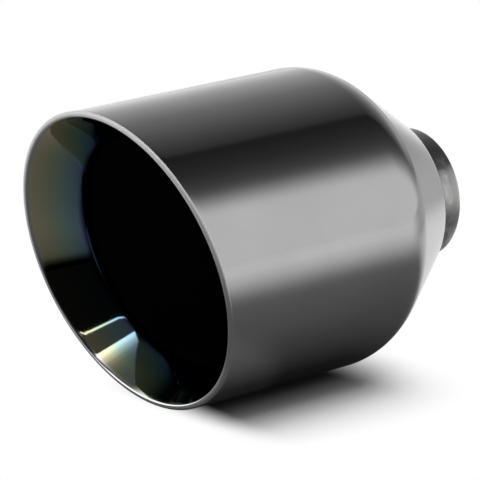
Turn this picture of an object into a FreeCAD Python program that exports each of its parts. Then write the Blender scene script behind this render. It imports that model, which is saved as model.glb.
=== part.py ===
import FreeCAD, Part
import math
import os

# Exhaust tip: a spun outer shell whose slanted edge is rolled inwards into a
# double rim, a tapered inner sleeve that carries the rim on into the mouth, and
# a short inlet neck held in the shell's nose by a fillet weld.
#
# Millimetres. The tip lies along Y as it hangs on a car: the tailpipe comes
# from +Y, the gas leaves towards -Y, and the long side of the slant is on top.
# The origin is the centre of the neck's open end.

# Tailpipe and inlet neck
PIPE_DIAMETER = 63.5
PIPE_CLEARANCE = 0.5
NECK_WALL = 1.5
NECK_LENGTH = 40.0
NECK_PROJECTION = 12.4
NECK_EDGE_BREAK = 0.4

# Outer shell, all sizes to its outside, and the sheet of shell and sleeve
OUTLET_DIAMETER = 152.4
SHEET = 1.2
BARREL_LENGTH = 116.6
SHOULDER_RADIUS = 28.0
CONE_DEG = 35.0
NOSE_RADIUS = 27.0
NOSE_DEG = 67.0

# Slanted mouth: the rim is rolled inwards, runs back down the taper for a short
# return and butts there on the sleeve, which ends in a turned lip
SLANT_DEG = 13.0
RIM_THICKNESS = 3.2
RIM_RETURN = 6.0
TAPER_DEG = 30.0
SLEEVE_DEPTH = 23.2
SLEEVE_BEND = 8.0
SLEEVE_LIP = 1.0

# How far a flat may stand off the arc that it is drawn for. Flats keep the faces
# of the slanted rim ruled, and the shoulder's inside has them too, out of sight.
FLAT_SAG = 0.1

# Fillet weld between the shell's nose and the neck, on the inside
WELD_LEG = 4.0

# Sizes that follow from those above
pipe_radius = PIPE_DIAMETER / 2
neck_bore_radius = pipe_radius + PIPE_CLEARANCE / 2
neck_radius = neck_bore_radius + NECK_WALL
shell_radius = OUTLET_DIAMETER / 2
shell_bore_radius = shell_radius - SHEET
cone = math.radians(CONE_DEG)
nose = math.radians(NOSE_DEG)
slant = math.radians(SLANT_DEG)
taper = math.radians(TAPER_DEG)

# Stations along Y, from the nose forwards to the rim
nose_centre_radius = neck_radius - NOSE_RADIUS * math.cos(nose)
nose_centre_y = -NECK_PROJECTION - NOSE_RADIUS * math.sin(nose)
cone_small_radius = nose_centre_radius + NOSE_RADIUS * math.cos(cone)
shoulder_centre_radius = shell_radius - SHOULDER_RADIUS
cone_large_radius = shoulder_centre_radius + SHOULDER_RADIUS * math.cos(cone)
cone_length = (cone_large_radius - cone_small_radius) / math.tan(cone)
cone_small_y = nose_centre_y + NOSE_RADIUS * math.sin(cone)
shoulder_centre_y = cone_small_y - cone_length - SHOULDER_RADIUS * math.sin(cone)
rim_y = shoulder_centre_y - BARREL_LENGTH
blank_end_y = rim_y - shell_radius * math.tan(slant) - RIM_THICKNESS

# The rolled edge, placed by its depth behind the rim's plane: the centre of its
# bead, its outer and inner radius, and the way that its tapered face looks
bead_radius = RIM_THICKNESS / 2
bead = (shell_radius - bead_radius, bead_radius)
fold_radius = bead_radius - SHEET
crest = -math.pi / 2
inwards = -math.pi
taper_face = inwards + taper

AXIS = FreeCAD.Vector(0, 1, 0)
FORWARD = FreeCAD.Vector(0, -1, 0)
DOWN_TAPER = FreeCAD.Vector(-math.sin(taper), math.cos(taper), 0)


def at(radius, y):
    """A point of a section, drawn in the plane that holds the axis and +X."""
    return FreeCAD.Vector(radius, y, 0)


def on_arc(centre_radius, centre_y, radius, angle):
    """A point of a section's arc, where angle 0 is the arc's widest point."""
    return at(centre_radius + radius * math.cos(angle), centre_y + radius * math.sin(angle))


def line(start, end):
    return Part.LineSegment(start, end).toShape()


def arc(centre_radius, centre_y, radius, start, end):
    ends = [on_arc(centre_radius, centre_y, radius, angle) for angle in (start, end)]
    middle = on_arc(centre_radius, centre_y, radius, (start + end) / 2)
    return Part.Arc(ends[0], middle, ends[1]).toShape()


def flats(centre_radius, centre_y, radius, start, end):
    """An arc of a section drawn as short flats."""
    widest_turn = 2 * math.acos(1 - FLAT_SAG / radius)
    count = math.ceil(abs(end - start) / widest_turn)
    turns = [start + (end - start) * step / count for step in range(count + 1)]
    points = [on_arc(centre_radius, centre_y, radius, turn) for turn in turns]
    return [line(points[step], points[step + 1]) for step in range(count)]


def spun(edges):
    """The solid that a closed section makes when it is spun round the axis."""
    face = Part.Face(Part.Wire(edges))
    return face.revolve(FreeCAD.Vector(0, 0, 0), AXIS, 360)


def slanted(solid):
    """A solid spun in depths behind the rim, leant over until the rim is slanted."""
    lean = FreeCAD.Matrix()
    lean.A23 = -math.tan(slant)
    lean.A24 = rim_y
    return solid.transformGeometry(lean)


def ahead_of_rim(depth):
    """Everything forward of the plane that lies this deep behind the rim."""
    reach = 2 * (shell_radius - blank_end_y)
    block = Part.makeBox(reach, reach, reach, FreeCAD.Vector(-reach / 2, -reach, -reach / 2))
    block.rotate(FreeCAD.Vector(0, 0, 0), FreeCAD.Vector(1, 0, 0), SLANT_DEG)
    block.translate(FreeCAD.Vector(0, rim_y + depth, 0))
    return block


def on_taper(distance, radius):
    """A point down the taper, on the face that lies this far from the bead's centre."""
    return on_arc(*bead, radius, taper_face) + DOWN_TAPER * distance


def nose_inner_angle():
    """Where the shell's inner face comes down to the neck."""
    return math.acos((neck_radius - nose_centre_radius) / (NOSE_RADIUS - SHEET))


def shell_wall():
    """The spun wall, from a blank end ahead of the slant back to the nose."""
    inner_shoulder = SHOULDER_RADIUS - SHEET
    inner_nose = NOSE_RADIUS - SHEET
    inner_end = nose_inner_angle()
    shoulder = (shoulder_centre_radius, shoulder_centre_y)
    nose_at = (nose_centre_radius, nose_centre_y)
    return spun([
        line(at(shell_radius, blank_end_y), at(shell_radius, shoulder_centre_y)),
        arc(*shoulder, SHOULDER_RADIUS, 0, cone),
        line(on_arc(*shoulder, SHOULDER_RADIUS, cone), on_arc(*nose_at, NOSE_RADIUS, cone)),
        arc(*nose_at, NOSE_RADIUS, cone, nose),
        line(on_arc(*nose_at, NOSE_RADIUS, nose), on_arc(*nose_at, inner_nose, inner_end)),
        arc(*nose_at, inner_nose, inner_end, cone),
        line(on_arc(*nose_at, inner_nose, cone), on_arc(*shoulder, inner_shoulder, cone)),
        *flats(*shoulder, inner_shoulder, cone, 0),
        line(at(shell_bore_radius, shoulder_centre_y), at(shell_bore_radius, blank_end_y)),
        line(at(shell_bore_radius, blank_end_y), at(shell_radius, blank_end_y)),
    ])


def make_outer_shell():
    """The spun wall, and its slanted edge rolled in and back down the taper."""
    wall = shell_wall().cut(ahead_of_rim(bead_radius))
    rolled_edge = slanted(spun(
        flats(*bead, bead_radius, 0, crest)
        + flats(*bead, bead_radius, crest, taper_face)
        + [
            line(on_taper(0, bead_radius), on_taper(RIM_RETURN, bead_radius)),
            line(on_taper(RIM_RETURN, bead_radius), on_taper(RIM_RETURN, fold_radius)),
            line(on_taper(RIM_RETURN, fold_radius), on_taper(0, fold_radius)),
        ]
        + flats(*bead, fold_radius, taper_face, 0)
        + [line(at(shell_bore_radius, bead_radius), at(shell_radius, bead_radius))]
    ))
    return wall.fuse(rolled_edge).removeSplitter()


def make_inner_sleeve():
    """The tapered second wall, from the rim's return to its turned lip."""
    taper_length = (SLEEVE_DEPTH - on_taper(0, bead_radius).y) / math.cos(taper)
    bend_centre = on_taper(taper_length, bead_radius - SLEEVE_BEND)
    bend = (bend_centre.x, bend_centre.y)
    hidden_bend = SLEEVE_BEND - SHEET
    lip = FreeCAD.Vector(0, SLEEVE_LIP, 0)
    lip_seen = on_arc(*bend, SLEEVE_BEND, inwards)
    lip_hidden = on_arc(*bend, hidden_bend, inwards)
    return slanted(spun(
        [line(on_taper(RIM_RETURN, bead_radius), on_taper(taper_length, bead_radius))]
        + flats(*bend, SLEEVE_BEND, taper_face, inwards)
        + [
            line(lip_seen, lip_seen + lip),
            line(lip_seen + lip, lip_hidden + lip),
            line(lip_hidden + lip, lip_hidden),
        ]
        + flats(*bend, hidden_bend, inwards, taper_face)
        + [
            line(on_taper(taper_length, fold_radius), on_taper(RIM_RETURN, fold_radius)),
            line(on_taper(RIM_RETURN, fold_radius), on_taper(RIM_RETURN, bead_radius)),
        ]
    ))


def make_inlet_neck():
    """The tube that slides over the tailpipe, with its open end's edges broken."""
    front = FreeCAD.Vector(0, -NECK_LENGTH, 0)
    neck = Part.makeCylinder(neck_radius, NECK_LENGTH, front, AXIS)
    neck = neck.cut(Part.makeCylinder(neck_bore_radius, NECK_LENGTH, front, AXIS))
    rims = [edge for edge in neck.Edges if isinstance(edge.Curve, Part.Circle)]
    open_end = [edge for edge in rims if abs(edge.Curve.Center.y) < NECK_EDGE_BREAK]
    return neck.makeChamfer(NECK_EDGE_BREAK, open_end)


def make_neck_weld():
    """A fillet bead in the corner between the shell's inner face and the neck."""
    inner_nose = NOSE_RADIUS - SHEET
    nose_at = (nose_centre_radius, nose_centre_y)
    corner_angle = nose_inner_angle()
    shell_angle = corner_angle - WELD_LEG / inner_nose
    corner = on_arc(*nose_at, inner_nose, corner_angle)
    on_neck = corner + FORWARD * WELD_LEG
    on_shell = on_arc(*nose_at, inner_nose, shell_angle)
    return spun([
        line(corner, on_neck),
        line(on_neck, on_shell),
        arc(*nose_at, inner_nose, shell_angle, corner_angle),
    ])


def main():
    os.makedirs("parts", exist_ok=True)
    pieces = {
        "outer_shell": make_outer_shell(),
        "inner_sleeve": make_inner_sleeve(),
        "inlet_neck": make_inlet_neck(),
        "neck_weld": make_neck_weld(),
    }
    for name, shape in pieces.items():
        shape.exportStep(f"parts/{name}.step")


main()
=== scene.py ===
import math

import bmesh
import bpy
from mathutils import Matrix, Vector


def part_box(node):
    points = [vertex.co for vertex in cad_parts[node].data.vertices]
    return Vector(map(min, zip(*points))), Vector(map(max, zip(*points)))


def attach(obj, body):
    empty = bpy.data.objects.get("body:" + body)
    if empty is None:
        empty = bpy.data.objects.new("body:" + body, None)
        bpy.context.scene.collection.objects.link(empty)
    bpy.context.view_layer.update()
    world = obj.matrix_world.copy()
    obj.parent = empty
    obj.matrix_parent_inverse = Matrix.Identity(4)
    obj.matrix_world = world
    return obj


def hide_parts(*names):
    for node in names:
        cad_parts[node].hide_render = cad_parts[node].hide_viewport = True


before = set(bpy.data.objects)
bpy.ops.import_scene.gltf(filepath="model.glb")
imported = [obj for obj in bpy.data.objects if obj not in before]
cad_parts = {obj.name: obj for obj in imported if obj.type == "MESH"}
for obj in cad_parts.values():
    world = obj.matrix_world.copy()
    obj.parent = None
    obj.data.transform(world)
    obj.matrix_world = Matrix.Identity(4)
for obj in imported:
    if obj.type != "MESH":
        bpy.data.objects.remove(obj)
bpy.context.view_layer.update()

MM = 0.001

# Sizes of the tip in millimetres, as its solids have them
OUTLET_RADIUS = 76.2
SHEET = 1.2
RIM_THICKNESS = 3.2
RIM_RETURN = 6.0
TAPER = math.radians(30)
SLEEVE_DEPTH = 23.2
SLEEVE_BEND = 8.0
SLEEVE_LIP = 1.0
SLANT = math.radians(13)
SHOULDER_RADIUS = 28.0
CONE = math.radians(35)
NOSE_RADIUS = 27.0
NOSE = math.radians(67)
NECK_RADIUS = 33.5
NECK_WALL = 1.5
NECK_LENGTH = 40.0
NECK_PROJECTION = 12.4
NECK_EDGE = 0.4
WELD_LEG = 4.0

# Places that follow from them: radii, and stations along the axis
bead_radius = RIM_THICKNESS / 2
fold_radius = bead_radius - SHEET
bore_radius = OUTLET_RADIUS - SHEET
inner_shoulder = SHOULDER_RADIUS - SHEET
inner_nose = NOSE_RADIUS - SHEET
nose_centre = (
    NECK_RADIUS - NOSE_RADIUS * math.cos(NOSE),
    -NECK_PROJECTION - NOSE_RADIUS * math.sin(NOSE),
)
inner_nose_end = math.acos((NECK_RADIUS - nose_centre[0]) / inner_nose)
shoulder_centre_radius = OUTLET_RADIUS - SHOULDER_RADIUS
cone_large_radius = shoulder_centre_radius + SHOULDER_RADIUS * math.cos(CONE)
cone_small_radius = nose_centre[0] + NOSE_RADIUS * math.cos(CONE)
cone_length = (cone_large_radius - cone_small_radius) / math.tan(CONE)
cone_start = nose_centre[1] + NOSE_RADIUS * math.sin(CONE)
shoulder_centre = (
    shoulder_centre_radius,
    cone_start - cone_length - SHOULDER_RADIUS * math.sin(CONE),
)

# The station where the rim's plane meets the axis, counted back from the shell's foremost point
front_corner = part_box("outer_shell")[0]
centre_reach = (OUTLET_RADIUS - bead_radius) * math.tan(SLANT)
crest_reach = bead_radius * (1 / math.cos(SLANT) - 1)
rim_station = front_corner.y / MM + (centre_reach + crest_reach)
bead = (OUTLET_RADIUS - bead_radius, rim_station + bead_radius)
taper_face = TAPER - math.pi

# The weld's crown, how many straight steps draw it, and the way that it rises from the corner
WELD_CROWN = 0.7
CROWN_STEPS = 10
CROWN_RISE = (0.6, -0.8)

# The ripples round the weld: their number, and in metres their height and the station that they
# are counted from; how unevenly they follow each other, how much they trail across the bead, how
# round they are, and the part of their height that lies under the smooth bead's surface
RIPPLES = 84
RIPPLE_HEIGHT = 0.00045
RIPPLE_STATION = -0.0157
RIPPLE_UNEVENNESS = 1.6
RIPPLE_TRAIL = 130.0
RIPPLE_ROUNDNESS = 0.6
RIPPLE_LEVEL = 0.7

# How fine the spun meshes are: the longest straight step and the deepest sag of an arc in
# millimetres, the steps round the axis, the angle from which an edge is crisp, and how near in
# metres two points are one
STEP = 3.0
SAG = 0.005
STEPS_AROUND = 288
WELD_STEPS_AROUND = 720
CRISP_EDGE = math.radians(40)
SAME_POINT = 1e-6


# Sections

# A section is a closed line of points, each with its radius and its station in millimetres, how
# far it leans over with the rim, from 0 to 1, and its side, 0 where it is seen and 1 within.


def round_to(centre, radius, angle):
    """The point of a section's arc at this angle, where angle 0 is its widest point."""
    return (centre[0] + radius * math.cos(angle), centre[1] + radius * math.sin(angle))


def straight(start, end, leans=(0, 0), side=0):
    """Points of a section from start up to, but not with, its end."""
    count = max(1, math.ceil(math.dist(start, end) / STEP))
    points = []
    for step in range(count):
        part = step / count
        radius = start[0] + (end[0] - start[0]) * part
        station = start[1] + (end[1] - start[1]) * part
        points.append((radius, station, leans[0] + (leans[1] - leans[0]) * part, side))
    return points


def bent(centre, radius, start, end, lean=0, side=0):
    """Points of a section's arc from its start up to, but not with, its end."""
    turn = 2 * math.acos(1 - SAG / radius)
    count = max(2, math.ceil(abs(end - start) / turn))
    points = []
    for step in range(count):
        at = round_to(centre, radius, start + (end - start) * step / count)
        points.append((*at, lean, side))
    return points


def on_taper(distance, radius):
    """A point down the sleeve's taper, on the face this far from the bead's centre."""
    start = round_to(bead, radius, taper_face)
    return (start[0] - distance * math.sin(TAPER), start[1] + distance * math.cos(TAPER))


# Nodes


def fill(tree, node, inputs):
    """Gives a node's inputs, by name or number, their values or links."""
    for key, value in inputs.items():
        if isinstance(value, bpy.types.NodeSocket):
            tree.links.new(value, node.inputs[key])
        else:
            node.inputs[key].default_value = value


def put(tree, kind, inputs=None, **settings):
    """Adds a node with its settings and inputs."""
    node = tree.nodes.new(kind)
    for name, value in settings.items():
        setattr(node, name, value)
    fill(tree, node, inputs or {})
    return node


def calc(tree, operation, *values):
    """The result of a Math node."""
    return put(tree, "ShaderNodeMath", dict(enumerate(values)), operation=operation).outputs[0]


def product(tree, first, *others):
    """Numbers multiplied together."""
    for other in others:
        first = calc(tree, "MULTIPLY", first, other)
    return first


def total(tree, first, *others):
    """Numbers added together."""
    for other in others:
        first = calc(tree, "ADD", first, other)
    return first


def split(tree, vector):
    """The X, Y and Z of a vector."""
    return put(tree, "ShaderNodeSeparateXYZ", {0: vector}).outputs


def ease(tree, value, low, high):
    """A smooth change from 0 at low to 1 at high."""
    inputs = {"Value": value, "From Min": low, "From Max": high}
    return put(tree, "ShaderNodeMapRange", inputs, interpolation_type="SMOOTHSTEP").outputs[0]


def window(tree, value, before, start, end, after):
    """1 from start to end, with a smooth change to 0 at before and at after."""
    return product(tree, ease(tree, value, before, start), ease(tree, value, after, end))


def share_in(tree, measures, region):
    """How far a place or a direction with these measures is in a region, from 0 to 1."""
    shares = []
    for measure, ends in region.items():
        change = ease if len(ends) == 2 else window
        shares.append(change(tree, measures[measure], *ends))
    return product(tree, *shares)


def dimmed(tree, light, measures, region, level):
    """Light that is lowered to this level in a region."""
    return product(tree, light, blend(tree, share_in(tree, measures, region), 1.0, level))


def spread(tree, value, low, high, start=0.0, end=1.0):
    """A value between start and end, spread evenly from low to high."""
    inputs = {"Value": value, "From Min": start, "From Max": end, "To Min": low, "To Max": high}
    return put(tree, "ShaderNodeMapRange", inputs).outputs[0]


def blend(tree, share, first, second):
    """A number that goes from first to second with this share."""
    inputs = {0: share, 2: first, 3: second}
    return put(tree, "ShaderNodeMix", inputs, data_type="FLOAT").outputs[0]


def blend_colours(tree, share, first, second):
    """A colour that goes from first to second with this share."""
    inputs = {0: share, 6: first, 7: second}
    return put(tree, "ShaderNodeMix", inputs, data_type="RGBA").outputs[2]


def scaled(tree, vector, factor):
    """A vector or a colour times a number."""
    inputs = {0: vector, "Scale": factor}
    return put(tree, "ShaderNodeVectorMath", inputs, operation="SCALE").outputs[0]


def noise(tree, place, scale, detail, distortion=0.0):
    """Cloudy noise between 0 and 1."""
    inputs = {"Vector": place, "Scale": scale, "Detail": detail, "Distortion": distortion}
    return put(tree, "ShaderNodeTexNoise", inputs).outputs[0]


def ramp(tree, value, stops, change="LINEAR"):
    """A colour ramp with these stops, each a place and a colour or a grey."""
    node = put(tree, "ShaderNodeValToRGB", {0: value})
    band = node.color_ramp
    band.interpolation = change
    while len(band.elements) < len(stops):
        band.elements.new(0.5)
    for element, (position, colour) in zip(band.elements, stops):
        element.position = position
        shades = colour if isinstance(colour, tuple) else (colour,) * 3
        element.color = (*shades, 1)
    return node.outputs[0]


# Spun walls


def new_group(name, inputs, result):
    """A Geometry Nodes group with these named inputs and this result, and what it is given."""
    tree = bpy.data.node_groups.new(name, "GeometryNodeTree")
    for label, kind in inputs.items():
        tree.interface.new_socket(label, in_out="INPUT", socket_type=kind)
    tree.interface.new_socket(result, in_out="OUTPUT", socket_type="NodeSocketGeometry")
    return tree, put(tree, "NodeGroupInput").outputs


def named(tree, name):
    """A number that the points carry under this name."""
    return put(tree, "GeometryNodeInputNamedAttribute", {0: name}, data_type="FLOAT").outputs[0]


def coat(tree, shape, finish, faces=True):
    """A shape with these of its faces in this finish."""
    inputs = {0: shape, "Selection": faces, "Material": finish}
    return put(tree, "GeometryNodeSetMaterial", inputs).outputs[0]


def spin_tree():
    """Geometry Nodes that spin a section round the axis and lean it over with the rim."""
    tree, given = new_group("Spun wall", {
        "Section": "NodeSocketGeometry",
        "Steps around": "NodeSocketInt",
        "Lean": "NodeSocketFloat",
        "Outside finish": "NodeSocketMaterial",
        "Inside finish": "NodeSocketMaterial",
    }, "Wall")
    size = put(tree, "GeometryNodeAttributeDomainSize", {0: given["Section"]}, component="MESH")
    count = size.outputs["Point Count"]
    grid = put(tree, "GeometryNodeMeshGrid", {
        "Size X": 1.0,
        "Size Y": 1.0,
        "Vertices X": calc(tree, "ADD", count, 1.0),
        "Vertices Y": calc(tree, "ADD", given["Steps around"], 1.0),
    })
    position = put(tree, "GeometryNodeInputPosition").outputs[0]
    flat = split(tree, position)
    column = calc(tree, "ROUND", product(tree, calc(tree, "ADD", flat["X"], 0.5), count))
    index = calc(tree, "MODULO", column, count)
    angle = product(tree, calc(tree, "ADD", flat["Y"], 0.5), math.tau)

    def taken(value, data_type="FLOAT"):
        inputs = {0: given["Section"], 1: value, 2: index}
        settings = {"data_type": data_type, "domain": "POINT"}
        return put(tree, "GeometryNodeSampleIndex", inputs, **settings).outputs[0]

    section = split(tree, taken(position, "FLOAT_VECTOR"))
    across = product(tree, section["X"], calc(tree, "COSINE", angle))
    height = product(tree, section["X"], calc(tree, "SINE", angle))
    drop = product(tree, taken(named(tree, "lean")), given["Lean"], height)
    along = calc(tree, "SUBTRACT", section["Y"], drop)
    place = put(tree, "ShaderNodeCombineXYZ", {0: across, 1: along, 2: height}).outputs[0]
    side = {0: grid.outputs["Mesh"], "Name": "side", "Value": taken(named(tree, "side"))}
    settings = {"data_type": "FLOAT", "domain": "POINT"}
    sided = put(tree, "GeometryNodeStoreNamedAttribute", side, **settings).outputs[0]
    spun = put(tree, "GeometryNodeSetPosition", {0: sided, "Position": place}).outputs[0]
    merged = {0: spun, "Distance": SAME_POINT}
    closed = put(tree, "GeometryNodeMergeByDistance", merged).outputs[0]
    whole = put(tree, "GeometryNodeRealizeInstances", {0: closed}).outputs[0]
    coated = coat(tree, whole, given["Outside finish"])
    compared = {0: named(tree, "side"), 1: 0.75}
    within = put(tree, "FunctionNodeCompare", compared, operation="GREATER_THAN").outputs[0]
    put(tree, "NodeGroupOutput", {0: coat(tree, coated, given["Inside finish"], within)})
    return tree


def plain_mesh(name, drawn):
    """What an object's modifiers make of it, as a plain object, in place of that object."""
    shape = drawn.evaluated_get(bpy.context.evaluated_depsgraph_get())
    mesh = bpy.data.meshes.new_from_object(shape)
    mesh.name = name
    bpy.data.objects.remove(drawn)
    made = bpy.data.objects.new(name, mesh)
    bpy.context.scene.collection.objects.link(made)
    return made


def set_inputs(modifier, values):
    """Sets a Geometry Nodes modifier's inputs, given by name, through their identifiers."""
    for item in modifier.node_group.interface.items_tree:
        if item.in_out == "INPUT" and item.name in values:
            modifier[item.identifier] = values[item.name]


def finish_faces(mesh):
    """Turns a closed mesh's faces outwards and shades it smooth but for its sheet edges."""
    shape = bmesh.new()
    shape.from_mesh(mesh)
    bmesh.ops.recalc_face_normals(shape, faces=shape.faces)
    for face in shape.faces:
        face.smooth = True
    shape.to_mesh(mesh)
    shape.free()
    mesh.set_sharp_from_angle(angle=CRISP_EDGE)


def spun_piece(name, points, tree, outside, inside, steps=STEPS_AROUND):
    """A closed section, spun into a wall with its faces out and its sheet edges crisp."""
    mesh = bpy.data.meshes.new(name + " section")
    places = [(point[0] * MM, point[1] * MM, 0) for point in points]
    rims = [(number, (number + 1) % len(points)) for number in range(len(points))]
    mesh.from_pydata(places, rims, [])
    for column, label in ((2, "lean"), (3, "side")):
        values = [float(point[column]) for point in points]
        mesh.attributes.new(label, "FLOAT", "POINT").data.foreach_set("value", values)
    drawn = bpy.data.objects.new(name + " section", mesh)
    bpy.context.scene.collection.objects.link(drawn)
    modifier = drawn.modifiers.new("Spin", "NODES")
    modifier.node_group = tree
    set_inputs(modifier, {
        "Steps around": steps,
        "Lean": math.tan(SLANT),
        "Outside finish": outside,
        "Inside finish": inside,
    })
    made = plain_mesh(name, drawn)
    finish_faces(made.data)
    return made


def make_outer_shell(tree, outside, inside):
    """The spun shell with its slanted edge rolled in and back down the taper."""
    cone_large = round_to(shoulder_centre, SHOULDER_RADIUS, CONE)
    cone_small = round_to(nose_centre, NOSE_RADIUS, CONE)
    inner_large = round_to(shoulder_centre, inner_shoulder, CONE)
    inner_small = round_to(nose_centre, inner_nose, CONE)
    nose_tip = round_to(nose_centre, NOSE_RADIUS, NOSE)
    inner_tip = round_to(nose_centre, inner_nose, inner_nose_end)
    return_end = on_taper(RIM_RETURN, bead_radius)
    hidden_end = on_taper(RIM_RETURN, fold_radius)
    return spun_piece("outer_shell_polished", (
        straight((OUTLET_RADIUS, bead[1]), (OUTLET_RADIUS, shoulder_centre[1]), (1, 0))
        + bent(shoulder_centre, SHOULDER_RADIUS, 0, CONE)
        + straight(cone_large, cone_small)
        + bent(nose_centre, NOSE_RADIUS, CONE, NOSE)
        + straight(nose_tip, inner_tip, side=1)
        + bent(nose_centre, inner_nose, inner_nose_end, CONE, side=1)
        + straight(inner_small, inner_large, side=1)
        + bent(shoulder_centre, inner_shoulder, CONE, 0, side=1)
        + straight((bore_radius, shoulder_centre[1]), (bore_radius, bead[1]), (0, 1), side=1)
        + bent(bead, fold_radius, 0, taper_face, lean=1, side=1)
        + straight(on_taper(0, fold_radius), hidden_end, (1, 1), side=1)
        + straight(hidden_end, return_end, (1, 1), side=1)
        + straight(return_end, on_taper(0, bead_radius), (1, 1))
        + bent(bead, bead_radius, taper_face, 0, lean=1)
    ), tree, outside, inside)


def make_inner_sleeve(tree, outside, inside):
    """The tapered sleeve, from the rim's return to its turned lip."""
    length = (SLEEVE_DEPTH + rim_station - on_taper(0, bead_radius)[1]) / math.cos(TAPER)
    bend = on_taper(length, bead_radius - SLEEVE_BEND)
    hidden_bend = SLEEVE_BEND - SHEET
    seen = round_to(bend, SLEEVE_BEND, -math.pi)
    hidden = round_to(bend, hidden_bend, -math.pi)
    seen_end = (seen[0], seen[1] + SLEEVE_LIP)
    hidden_end = (hidden[0], hidden[1] + SLEEVE_LIP)
    seen_start = on_taper(RIM_RETURN, bead_radius)
    hidden_start = on_taper(RIM_RETURN, fold_radius)
    return spun_piece("inner_sleeve_polished", (
        straight(seen_start, on_taper(length, bead_radius), (1, 1))
        + bent(bend, SLEEVE_BEND, taper_face, -math.pi, lean=1)
        + straight(seen, seen_end, (1, 1))
        + straight(seen_end, hidden_end, (1, 1))
        + straight(hidden_end, hidden, (1, 1), side=1)
        + bent(bend, hidden_bend, -math.pi, taper_face, lean=1, side=1)
        + straight(on_taper(length, fold_radius), hidden_start, (1, 1), side=1)
        + straight(hidden_start, seen_start, (1, 1), side=1)
    ), tree, outside, inside)


def make_neck(tree, outside, inside):
    """The inlet neck, a tube with its open end's edges rounded."""
    inner = NECK_RADIUS - NECK_WALL
    quarter = math.pi / 2
    return spun_piece("inlet_neck_brushed", (
        straight((NECK_RADIUS, -NECK_LENGTH), (NECK_RADIUS, -NECK_EDGE))
        + bent((NECK_RADIUS - NECK_EDGE, -NECK_EDGE), NECK_EDGE, 0, quarter)
        + straight((NECK_RADIUS - NECK_EDGE, 0), (inner + NECK_EDGE, 0))
        + bent((inner + NECK_EDGE, -NECK_EDGE), NECK_EDGE, quarter, 2 * quarter)
        + straight((inner, -NECK_EDGE), (inner, -NECK_LENGTH), side=1)
        + straight((inner, -NECK_LENGTH), (NECK_RADIUS, -NECK_LENGTH), side=1)
    ), tree, outside, inside)


# Weld bead


def ripple_tree():
    """Geometry Nodes that raise a smooth weld ring into overlapping ripples."""
    tree, given = new_group("Weld ripples", {
        "Ring": "NodeSocketGeometry",
        "Ripples around": "NodeSocketInt",
        "Ripple height": "NodeSocketFloat",
        "Unevenness": "NodeSocketFloat",
        "Finish": "NodeSocketMaterial",
    }, "Bead")
    point = put(tree, "GeometryNodeInputPosition").outputs[0]
    parts = split(tree, point)
    uneven = calc(tree, "SUBTRACT", noise(tree, point, scale=160.0, detail=2.0), 0.5)
    turns = calc(tree, "DIVIDE", calc(tree, "ARCTAN2", parts["Z"], parts["X"]), math.tau)
    phase = total(
        tree,
        product(tree, turns, given["Ripples around"]),
        product(tree, uneven, given["Unevenness"]),
        product(tree, calc(tree, "SUBTRACT", parts["Y"], RIPPLE_STATION), RIPPLE_TRAIL),
    )
    wave = calc(tree, "SINE", product(tree, calc(tree, "FRACT", phase), math.pi))
    crest = calc(tree, "POWER", wave, RIPPLE_ROUNDNESS)
    rise = product(tree, calc(tree, "SUBTRACT", crest, RIPPLE_LEVEL), given["Ripple height"])
    offset = scaled(tree, put(tree, "GeometryNodeInputNormal").outputs[0], rise)
    compared = {0: named(tree, "side"), 1: 0.5}
    shown = put(tree, "FunctionNodeCompare", compared, operation="LESS_THAN").outputs[0]
    moved = {"Geometry": given["Ring"], "Selection": shown, "Offset": offset}
    raised = put(tree, "GeometryNodeSetPosition", moved).outputs[0]
    whole = put(tree, "GeometryNodeRealizeInstances", {0: raised}).outputs[0]
    put(tree, "NodeGroupOutput", {0: coat(tree, whole, given["Finish"])})
    return tree


def make_neck_weld(tree, finish):
    """The fillet weld inside, between the shell's nose and the neck."""
    shell_angle = inner_nose_end - WELD_LEG / inner_nose
    corner = round_to(nose_centre, inner_nose, inner_nose_end)
    on_neck = (corner[0], corner[1] - WELD_LEG)
    on_shell = round_to(nose_centre, inner_nose, shell_angle)
    crown = []
    for step in range(CROWN_STEPS):
        part = step / CROWN_STEPS
        rise = WELD_CROWN * math.sin(part * math.pi)
        radius = on_neck[0] + (on_shell[0] - on_neck[0]) * part + rise * CROWN_RISE[0]
        station = on_neck[1] + (on_shell[1] - on_neck[1]) * part + rise * CROWN_RISE[1]
        crown.append((radius, station, 0, 0))
    ring = spun_piece("neck_weld_rippled", (
        straight(corner, on_neck, side=1)
        + crown
        + bent(nose_centre, inner_nose, shell_angle, inner_nose_end, side=1)
    ), tree, finish, finish, WELD_STEPS_AROUND)
    modifier = ring.modifiers.new("Ripples", "NODES")
    modifier.node_group = ripple_tree()
    set_inputs(modifier, {
        "Ripples around": RIPPLES,
        "Ripple height": RIPPLE_HEIGHT,
        "Unevenness": RIPPLE_UNEVENNESS,
        "Finish": finish,
    })
    made = plain_mesh("neck_weld_rippled", ring)
    finish_faces(made.data)
    return made


# Finishes

# Regions of the tip, by distances in millimetres from its axis ("radius"), behind the rim's
# plane ("depth") and over the axis ("height"). Two numbers say where a region starts and where
# it is full, and two more where it starts to end and where it has ended.
FILMED = {"radius": (74.6, 73.3), "depth": (40.0, 30.0)}
CREST = {"depth": (1.9, 1.1)}
# Painted highlights on the bead: low down on its inside, and high up on its outside
LOW_BEAD_PAINTED_HIGHLIGHT = {"depth": (2.3, 1.5), "radius": (75.2, 74.8), "height": (-30.0, -52.0)}
UPPER_BEAD_PAINTED_HIGHLIGHT = {"depth": (2.0, 1.5), "radius": (74.3, 74.9), "height": (-25.0, 25.0)}

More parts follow.
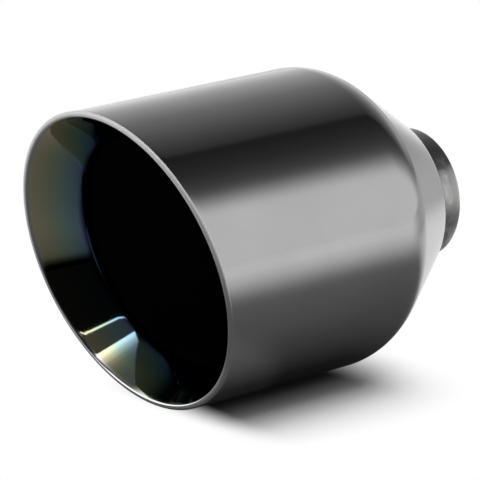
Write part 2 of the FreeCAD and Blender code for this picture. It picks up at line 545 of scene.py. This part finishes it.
# The thin film's sheen, by its thickness as a share of FILM_RANGE; how unevenly it lies, and how
# much thicker it is in two regions low in the mouth
FILM_RANGE = 28.0
FILM = [
    (0.00, (0.58, 0.53, 0.44)),
    (0.10, (0.57, 0.49, 0.33)),
    (0.32, (0.42, 0.46, 0.30)),
    (0.55, (0.27, 0.42, 0.38)),
    (0.78, (0.19, 0.31, 0.46)),
    (0.82, (0.10, 0.13, 0.24)),
    (0.86, (0.02, 0.03, 0.07)),
]
FILM_UNEVENNESS = 2.5
THICKER_FILM = [
    (3.0, {"depth": (6.0, 13.0, 13.0, 21.0), "height": (-44.0, -56.0)}),
    (10.0, {"depth": (0.5, 4.0, 5.0, 13.0), "height": (-60.0, -70.0)}),
]

# Dark chrome where it is thin and thick, and the colours and roughness of the bead: along its
# crest, and where painted highlights lighten it, low down on its inside and high up on its
# outside, where it is also rougher and less metallic
BARREL_GREYS = [(0.25, (0.405, 0.406, 0.41)), (0.75, (0.435, 0.436, 0.44))]
CREST_TONE = ((0.44, 0.44, 0.44, 1), 0.16)
LOW_BEAD_HIGHLIGHT_TONE = ((0.88, 0.88, 0.87, 1), 0.10)
UPPER_BEAD_HIGHLIGHT_TONE = ((0.66, 0.66, 0.66, 1), 0.5)
UPPER_BEAD_HIGHLIGHT_METALLIC = 0.45

# The chamber behind the sleeve, painted nearly black as the shade in its hollow
CHAMBER_PAINTED_SHADE = [(0.3, (0.004, 0.004, 0.005)), (0.75, (0.012, 0.011, 0.011))]
CLOUDED_STEEL = [
    (0.34, (0.17, 0.17, 0.17)),
    (0.52, (0.34, 0.34, 0.335)),
    (0.68, (0.52, 0.515, 0.51)),
]

# The weld's heat tint, from its toe on the neck to its toe on the shell
WELD_TINT_WIDTH = 3.5
WELD_TINT = [
    (0.0, (0.16, 0.17, 0.24)),
    (0.25, (0.30, 0.22, 0.16)),
    (0.5, (0.36, 0.34, 0.31)),
    (0.8, (0.28, 0.21, 0.15)),
    (1.0, (0.13, 0.14, 0.22)),
]


def off_axis(tree, parts):
    """The distance from the tip's axis in millimetres."""
    squares = [calc(tree, "POWER", parts[axis], 2.0) for axis in ("X", "Z")]
    return calc(tree, "DIVIDE", calc(tree, "SQRT", total(tree, *squares)), MM)


def spot_on_tip(tree, place):
    """A place's distances from the axis and the rim's plane, and its height over the axis."""
    parts = split(tree, place)
    leant = total(tree, parts["Y"], product(tree, parts["Z"], math.tan(SLANT)))
    return {
        "radius": off_axis(tree, parts),
        "depth": calc(tree, "SUBTRACT", calc(tree, "DIVIDE", leant, MM), rim_station),
        "height": calc(tree, "DIVIDE", parts["Z"], MM),
    }


def new_finish(name):
    """A new material with its nodes, its shader and its object coordinates."""
    material = bpy.data.materials.new(name)
    material.use_nodes = True
    tree = material.node_tree
    place = put(tree, "ShaderNodeTexCoord").outputs["Object"]
    return material, tree, tree.nodes["Principled BSDF"], place


def fine_lines(tree, place, along, around):
    """Noise drawn out round the axis, as polishing or brushing leaves it."""
    inputs = {0: place, 1: (around, along, around)}
    drawn_out = put(tree, "ShaderNodeVectorMath", inputs, operation="MULTIPLY").outputs[0]
    inputs = {"Vector": drawn_out, "Scale": 1.0, "Detail": 4.0, "Roughness": 0.6}
    return put(tree, "ShaderNodeTexNoise", inputs).outputs[0]


def bumps(tree, height, strength, distance):
    """A normal that fine relief turns a little."""
    inputs = {"Strength": strength, "Distance": distance, "Height": height}
    return put(tree, "ShaderNodeBump", inputs).outputs[0]


def film_colour(tree, spot, clouds):
    """The thin dark film's sheen, from straw at the rim to violet, thicker low in the mouth."""
    uneven = product(tree, calc(tree, "SUBTRACT", clouds, 0.5), FILM_UNEVENNESS)
    thickness = total(tree, spot["depth"], uneven)
    for extra, region in THICKER_FILM:
        thickness = total(tree, thickness, product(tree, share_in(tree, spot, region), extra))
    return ramp(tree, calc(tree, "DIVIDE", thickness, FILM_RANGE), FILM, "B_SPLINE")


def black_chrome():
    """Dark mirror chrome with faint polishing lines, filmed in the mouth, with painted bead
    highlights.
    """
    material, tree, shader, place = new_finish("black_chrome")
    spot = spot_on_tip(tree, place)
    lines = fine_lines(tree, place, along=1400.0, around=10.0)
    clouds = noise(tree, place, scale=22.0, detail=3.0)
    filmed = share_in(tree, spot, FILMED)
    upper_highlight = share_in(tree, spot, UPPER_BEAD_PAINTED_HIGHLIGHT)
    grey = ramp(tree, clouds, BARREL_GREYS, "EASE")
    colour = blend_colours(tree, filmed, grey, film_colour(tree, spot, clouds))
    rough = blend(tree, filmed, spread(tree, lines, 0.07, 0.13), 0.04)
    # The bead's crest, then its painted highlights low on the inside and high on the outside
    for share, (tone, dullness) in (
        (share_in(tree, spot, CREST), CREST_TONE),
        (share_in(tree, spot, LOW_BEAD_PAINTED_HIGHLIGHT), LOW_BEAD_HIGHLIGHT_TONE),
        (upper_highlight, UPPER_BEAD_HIGHLIGHT_TONE),
    ):
        colour = blend_colours(tree, share, colour, tone)
        rough = blend(tree, share, rough, dullness)
    fill(tree, shader, {
        "Base Color": colour,
        "Metallic": blend(tree, upper_highlight, 1.0, UPPER_BEAD_HIGHLIGHT_METALLIC),
        "Roughness": rough,
        "Normal": bumps(tree, lines, strength=0.02, distance=0.0002),
    })
    return material


def tinted_chrome():
    """The sleeve's mirror polish under its thin film."""
    material, tree, shader, place = new_finish("tinted_chrome")
    clouds = noise(tree, place, scale=22.0, detail=3.0)
    lines = fine_lines(tree, place, along=1400.0, around=10.0)
    fill(tree, shader, {
        "Base Color": film_colour(tree, spot_on_tip(tree, place), clouds),
        "Metallic": 1.0,
        "Roughness": spread(tree, lines, 0.03, 0.055),
    })
    return material


def painted_shade_steel():
    """The chamber behind the sleeve, matt, and painted nearly black as the shade in its hollow."""
    material, tree, shader, place = new_finish("painted_shade_steel")
    clouds = noise(tree, place, scale=60.0, detail=5.0)
    fill(tree, shader, {
        "Base Color": ramp(tree, clouds, CHAMBER_PAINTED_SHADE, "EASE"),
        "Metallic": 0.0,
        "Roughness": spread(tree, clouds, 0.6, 0.9),
        "Specular IOR Level": 0.15,
        "Normal": bumps(tree, clouds, strength=0.15, distance=0.0003),
    })
    return material


def brushed_steel():
    """The bare neck: brushed round the tube, and clouded by handling and heat."""
    material, tree, shader, place = new_finish("brushed_steel")
    lines = fine_lines(tree, place, along=2600.0, around=30.0)
    clouds = noise(tree, place, scale=55.0, detail=4.0, distortion=0.6)
    cloudy = ramp(tree, clouds, CLOUDED_STEEL, "EASE")
    streaks = spread(tree, lines, 0.82, 1.08, start=0.3, end=0.7)
    fill(tree, shader, {
        "Base Color": scaled(tree, cloudy, streaks),
        "Metallic": 1.0,
        "Roughness": spread(tree, clouds, 0.42, 0.28, start=0.3, end=0.7),
        "Normal": bumps(tree, lines, strength=0.25, distance=0.0001),
    })
    return material


def weld_steel():
    """As-welded steel with a straw and blue heat tint along the toes."""
    material, tree, shader, place = new_finish("weld_steel")
    clouds = noise(tree, place, scale=140.0, detail=4.0)
    uneven = total(tree, off_axis(tree, split(tree, place)), clouds)
    from_neck = calc(tree, "SUBTRACT", uneven, NECK_RADIUS + 0.5)
    across = calc(tree, "DIVIDE", from_neck, WELD_TINT_WIDTH)
    fill(tree, shader, {
        "Base Color": ramp(tree, across, WELD_TINT, "EASE"),
        "Metallic": 1.0,
        "Roughness": spread(tree, clouds, 0.25, 0.5),
    })
    return material


# Studio

# Distances here are metres. Bearings ("turn") are in degrees, from 0 behind the tip to 90 on its
# left and -90 on its right, and so are heights over the horizon ("up"). Regions are written as
# those of the tip are, and some come with the level to which light is lowered in them.
QUARTER_TURN = 90.0

FLOOR_HEIGHT = -OUTLET_RADIUS * MM
FLOOR_HALF = 30.0
FLOOR_MIDDLE = (0.0, -0.118, FLOOR_HEIGHT)

# The patch of floor on which the camera sees the tip's shadow, and its tone from left to right:
# dark by the contact line as a painted shadow, then pale
SHADOW_PATCH = {"X": (-0.05, 0.0, 0.04, 0.15), "Y": (-0.178, -0.152, -0.078, -0.026)}
PATCH_RIGHT = {"X": (0.018, 0.048)}
PATCH_PAINTED_SHADOW_TONES = (0.12, 0.95)

# The floor's tone as the chrome mirrors it, a grey with painted light and shade, by distance
# ("reach"): to the sides and rear, in front, and in front on the left, with the bearings past
# which it is the front's and those where it is the left's
SIDE_FLOOR = [
    (0.08, 0.11), (0.20, 0.16), (0.24, 0.23), (0.28, 0.34), (0.33, 0.46),
    (0.40, 0.58), (0.50, 0.68), (0.70, 0.77), (1.00, 0.83),
]
FRONT_FLOOR = [
    (0.07, 0.20), (0.11, 0.155), (0.15, 0.12), (0.21, 0.103), (0.32, 0.082),
    (0.39, 0.06), (0.46, 0.035), (0.56, 0.018), (0.80, 0.004), (1.00, 0.0),
]
LEFT_FLOOR = [
    (0.10, 0.18), (0.13, 0.20), (0.165, 0.27), (0.20, 0.43), (0.24, 0.61), (0.27, 0.73),
    (0.31, 0.85),
]
FRONT_EDGES = [{"turn": (-85.0, -108.0)}, {"turn": (76.0, 122.0)}]
FRONT_LEFT = {"turn": (60.0, 90.0, 150.0, 174.0)}

# Where the side floor's painted light comes later or sooner, by what distance, and where painted
# shade makes it greyer
PALING_SHIFTS = [
    ({"turn": (-70.0, -45.0, -35.0, -20.0)}, -0.045),
    ({"turn": (-30.0, 5.0)}, 0.28),
]
GREYER_FLOOR = [
    ({"turn": (-45.0, -15.0, 15.0, 35.0), "reach": (0.3, 0.6)}, 0.56),
    ({"turn": (5.0, 18.0, 42.0, 60.0), "reach": (0.5, 3.0)}, 0.42),
]

# The right wall's light by how far a direction is over its top edge, which rises to the right,
# as a share of a quarter turn that is counted from a little under the edge
RIGHT_EDGE_RISE = -0.73
RIGHT_EDGE_BEHIND = 5.9
UNDER_EDGE = 0.2
RIGHT_WALL = [
    (0.08, 1.0), (0.122, 0.94), (0.167, 0.73), (0.2, 0.55), (0.222, 0.44), (0.267, 0.24),
    (0.30, 0.14), (0.333, 0.095), (0.37, 0.064), (0.42, 0.043), (0.50, 0.02), (0.60, 0.008),
]
RIGHT_SPAN = {"turn": (-85.0, -68.0)}
DULLER_BEHIND = ({"turn": (-20.0, 5.0)}, 0.62)

# The left wall's light, by height as a share of a quarter turn. Further left, it shows only where
# it is high enough over the right wall's edge, and it is duller at its foot.
LEFT_WALL = [
    (0.0, 1.0), (0.11, 0.77), (0.2, 0.57), (0.29, 0.43), (0.4, 0.27), (0.55, 0.16), (0.8, 0.05),
]
LEFT_SPAN = {"turn": (-15.0, 45.0, 62.0, 85.0)}
LEFT_SPAN_BEHIND = {"turn": (44.0, 38.0)}
LEFT_OVER_EDGE = (0.462, 0.484)
DULLER_FOOT = ({"turn": (44.0, 36.0), "up": (8.0, -1.0)}, 0.5)

# The darker corner high up behind, and the least light of the walls and of the dark front, which
# starts past these bearings on both sides
DARKER_CORNER = ({"turn": (-10.0, -1.5, 0.4, 2.4), "up": (28.0, 40.0)}, 0.55)
WALL_LEAST = 0.028
FRONT_LEAST = 0.004
FRONT_FROM = (92.0, 106.0)

# The screen in front on the left, and the glow in front on the right, which is also painted as
# light on the far floor
SCREEN = {"turn": (80.0, 100.0, 166.0, 176.0), "up": (62.0, 46.0)}
SCREEN_LIGHT = 1.15
GLOW_TURNS = (-180.0, -168.0, -150.0, -138.0)
WALL_GLOW = {"turn": GLOW_TURNS, "up": (54.0, 14.0)}
WALL_GLOW_LIGHT = 0.10
FLOOR_PAINTED_GLOW = {"turn": GLOW_TURNS, "reach": (0.5, 1.5)}
FLOOR_PAINTED_GLOW_LIGHT = 0.08

# The ceiling, by places on it one unit over the tip: to the right ("x"), to the rear ("y"), across
# its slanted far side ("far") and across the slanted strip light ("beside"). The softbox's light
# goes from left to right, and nothing under HORIZON is lit.
SOFTBOX = [
    (0.0, 0.05), (0.27, 0.06), (0.38, 0.075), (0.48, 0.11), (0.56, 0.2), (0.65, 0.5),
    (0.73, 1.0), (0.765, 1.0), (0.775, 0.0),
]
SOFTBOX_LEFT = -0.5
FAR_SLANT = 0.3
STRIP_SLANT = 0.8
STRIP_FOOT = -0.55
LIT_CEILING = {"y": (-0.08, -0.14), "far": (-0.495, -0.45)}
STRIP_LIGHT = {"beside": (0.625, 0.635, 0.655, 0.665)}
BETWEEN_LAMPS = {"beside": (0.65, 0.63), "x": (0.26, 0.28)}
LAMP_LIGHT = 2.4
BETWEEN_LAMPS_LIGHT = 0.08
HORIZON = 0.05

# The lamp that gives the shadow
LAMP_STRENGTH = 3.0
LAMP_WIDTH = math.radians(60)
LAMP_TILT = (math.radians(4), math.radians(6), 0)

CAMERA_LENS = 270.0
CAMERA_SENSOR = 36.0
CAMERA_PLACE = Vector((1.28555, -1.22795, 0.49733))
CAMERA_TARGET = Vector((0.0, -0.11813, -0.00274))


def bearing(tree, x, y):
    """The direction in degrees, from 0 behind the tip to 90 on its left."""
    return calc(tree, "DEGREES", calc(tree, "ARCTAN2", product(tree, x, -1.0), y))


def studio_floor():
    """A pale floor that keeps the shadow, with painted shadow by the tip, and whitens away from
    it.
    """
    mesh = bpy.data.meshes.new("floor")
    corners = [(-1, -1), (1, -1), (1, 1), (-1, 1)]
    places = [(x * FLOOR_HALF, y * FLOOR_HALF, FLOOR_HEIGHT) for x, y in corners]
    mesh.from_pydata(places, [], [(0, 1, 2, 3)])
    floor = bpy.data.objects.new("floor", mesh)
    bpy.context.scene.collection.objects.link(floor)
    material = bpy.data.materials.new("studio_floor")
    material.use_nodes = True
    tree = material.node_tree
    tree.nodes.clear()
    place = put(tree, "ShaderNodeTexCoord").outputs["Object"]
    parts = split(tree, place)
    # Painted shadow: the floor's colour is darker along the contact line
    painted_shadow_tone = blend(tree, share_in(tree, parts, PATCH_RIGHT), *PATCH_PAINTED_SHADOW_TONES)
    shadowed = put(tree, "ShaderNodeBsdfDiffuse", {"Color": painted_shadow_tone}).outputs[0]
    white = put(tree, "ShaderNodeEmission", {"Strength": 1.0}).outputs[0]
    seen = {0: share_in(tree, parts, SHADOW_PATCH), 1: white, 2: shadowed}
    for_camera = put(tree, "ShaderNodeMixShader", seen).outputs[0]
    # What the chrome mirrors of the floor is painted light and shade on a grey tone
    tone = painted_floor_shading(tree, place, parts)
    for_mirror = put(tree, "ShaderNodeBsdfDiffuse", {"Color": tone}).outputs[0]
    ray = put(tree, "ShaderNodeLightPath").outputs["Is Camera Ray"]
    both = put(tree, "ShaderNodeMixShader", {0: ray, 1: for_mirror, 2: for_camera}).outputs[0]
    put(tree, "ShaderNodeOutputMaterial", {"Surface": both})
    mesh.materials.append(material)


def painted_floor_shading(tree, place, parts):
    """The floor as the chrome shows it, in painted light and shade: grey by the tip and in front,
    pale further off.
    """
    ends = {0: place, 1: FLOOR_MIDDLE}
    apart = put(tree, "ShaderNodeVectorMath", ends, operation="DISTANCE").outputs["Value"]
    turn = bearing(tree, parts["X"], calc(tree, "SUBTRACT", parts["Y"], FLOOR_MIDDLE[1]))
    spot = {"turn": turn, "reach": apart}
    left = ramp(tree, apart, LEFT_FLOOR)
    ahead = blend(tree, share_in(tree, spot, FRONT_LEFT), front_floor(tree, spot), left)
    forwards = calc(tree, "MAXIMUM", *(share_in(tree, spot, edge) for edge in FRONT_EDGES))
    return blend(tree, forwards, side_floor(tree, spot), ahead)


def side_floor(tree, spot):
    """The floor's tone to the sides and rear, in painted light and shade: sooner pale on the left,
    greyer far behind.
    """
    reach = spot["reach"]
    for region, shift in PALING_SHIFTS:
        reach = total(tree, reach, product(tree, share_in(tree, spot, region), shift))
    tone = ramp(tree, reach, SIDE_FLOOR)
    for region, level in GREYER_FLOOR:
        tone = dimmed(tree, tone, spot, region, level)
    return tone


def front_floor(tree, spot):
    """The floor's tone in front: painted shade, but for the painted glow that lies on it far to
    the right.
    """
    glow = product(tree, share_in(tree, spot, FLOOR_PAINTED_GLOW), FLOOR_PAINTED_GLOW_LIGHT)
    return total(tree, ramp(tree, spot["reach"], FRONT_FLOOR), glow)


def studio_world():
    """The studio round the tip. The camera itself sees it white."""
    world = bpy.data.worlds.new("studio")
    world.use_nodes = True
    tree = world.node_tree
    tree.nodes.clear()
    parts = split(tree, put(tree, "ShaderNodeTexCoord").outputs["Generated"])
    up = calc(tree, "DEGREES", calc(tree, "ARCSINE", parts["Z"]))
    turn = bearing(tree, parts["X"], parts["Y"])
    walls = wall_light(tree, {"turn": turn, "up": up})
    light = total(tree, walls, ceiling_light(tree, parts))
    ray = put(tree, "ShaderNodeLightPath").outputs["Is Camera Ray"]
    strength = blend(tree, ray, light, 1.0)
    white = {"Color": (1.0, 1.0, 1.0, 1.0), "Strength": strength}
    background = put(tree, "ShaderNodeBackground", white).outputs[0]
    put(tree, "ShaderNodeOutputWorld", {"Surface": background})
    bpy.context.scene.world = world


def wall_light(tree, look):
    """The walls: white to the right and behind, paler to the left, and dark in front."""
    turn, up = look["turn"], look["up"]
    right_edge = total(tree, product(tree, turn, RIGHT_EDGE_RISE), RIGHT_EDGE_BEHIND)
    over_edge = calc(tree, "DIVIDE", calc(tree, "SUBTRACT", up, right_edge), QUARTER_TURN)
    over_edge = total(tree, over_edge, UNDER_EDGE)
    right = product(tree, ramp(tree, over_edge, RIGHT_WALL), share_in(tree, look, RIGHT_SPAN))
    right = dimmed(tree, right, look, *DULLER_BEHIND)
    height = calc(tree, "DIVIDE", up, QUARTER_TURN)
    high_enough = ease(tree, over_edge, *LEFT_OVER_EDGE)
    shown = calc(tree, "MAXIMUM", high_enough, share_in(tree, look, LEFT_SPAN_BEHIND))
    left = product(tree, ramp(tree, height, LEFT_WALL), share_in(tree, look, LEFT_SPAN), shown)
    left = dimmed(tree, left, look, *DULLER_FOOT)
    walls = total(tree, calc(tree, "MAXIMUM", right, left), WALL_LEAST)
    walls = dimmed(tree, walls, look, *DARKER_CORNER)
    front = ease(tree, calc(tree, "ABSOLUTE", turn), *FRONT_FROM)
    screen = product(tree, share_in(tree, look, SCREEN), SCREEN_LIGHT)
    glow = product(tree, share_in(tree, look, WALL_GLOW), WALL_GLOW_LIGHT)
    return total(tree, blend(tree, front, walls, FRONT_LEAST), screen, glow)


def ceiling_light(tree, parts):
    """A softbox overhead, a slanted strip light beside it, and a dim gap between them."""
    height = calc(tree, "MAXIMUM", parts["Z"], HORIZON)
    over_x = calc(tree, "DIVIDE", parts["X"], height)
    over_y = calc(tree, "DIVIDE", parts["Y"], height)
    from_foot = calc(tree, "SUBTRACT", over_y, STRIP_FOOT)
    spot = {
        "x": over_x,
        "y": over_y,
        "far": total(tree, over_y, product(tree, over_x, FAR_SLANT)),
        "beside": total(tree, over_x, product(tree, from_foot, STRIP_SLANT)),
    }
    softbox = ramp(tree, calc(tree, "SUBTRACT", over_x, SOFTBOX_LEFT), SOFTBOX)
    lamps = product(tree, total(tree, softbox, share_in(tree, spot, STRIP_LIGHT)), LAMP_LIGHT)
    between = product(tree, share_in(tree, spot, BETWEEN_LAMPS), BETWEEN_LAMPS_LIGHT)
    overhead = calc(tree, "GREATER_THAN", parts["Z"], HORIZON)
    return product(tree, total(tree, lamps, between), share_in(tree, spot, LIT_CEILING), overhead)


def overhead_lamp():
    """Soft light from above that gives the tip its shadow, and no reflection of its own."""
    lamp = bpy.data.lights.new("overhead", "SUN")
    lamp.energy = LAMP_STRENGTH
    lamp.angle = LAMP_WIDTH
    made = bpy.data.objects.new("overhead", lamp)
    made.rotation_euler = LAMP_TILT
    made.visible_glossy = False
    bpy.context.scene.collection.objects.link(made)


def photo_camera():
    """The camera at the photograph's angle."""
    data = bpy.data.cameras.new("camera")
    data.lens = CAMERA_LENS
    data.sensor_width = CAMERA_SENSOR
    camera = bpy.data.objects.new("camera", data)
    camera.location = CAMERA_PLACE
    aim = (CAMERA_TARGET - CAMERA_PLACE).to_track_quat("-Z", "Y")
    camera.rotation_euler = aim.to_euler()
    bpy.context.scene.collection.objects.link(camera)
    bpy.context.scene.camera = camera


def seat(piece, node):
    """Puts a piece in place of its CAD node."""
    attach(piece, "root")
    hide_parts(node)


def main():
    spin = spin_tree()
    chrome, tinted, painted_shade = black_chrome(), tinted_chrome(), painted_shade_steel()
    brushed, welded = brushed_steel(), weld_steel()
    seat(make_outer_shell(spin, chrome, painted_shade), "outer_shell")
    seat(make_inner_sleeve(spin, tinted, painted_shade), "inner_sleeve")
    seat(make_neck(spin, brushed, brushed), "inlet_neck")
    seat(make_neck_weld(spin, welded), "neck_weld")
    studio_floor()
    studio_world()
    overhead_lamp()
    photo_camera()
    bpy.context.scene.view_settings.view_transform = "Standard"


main()
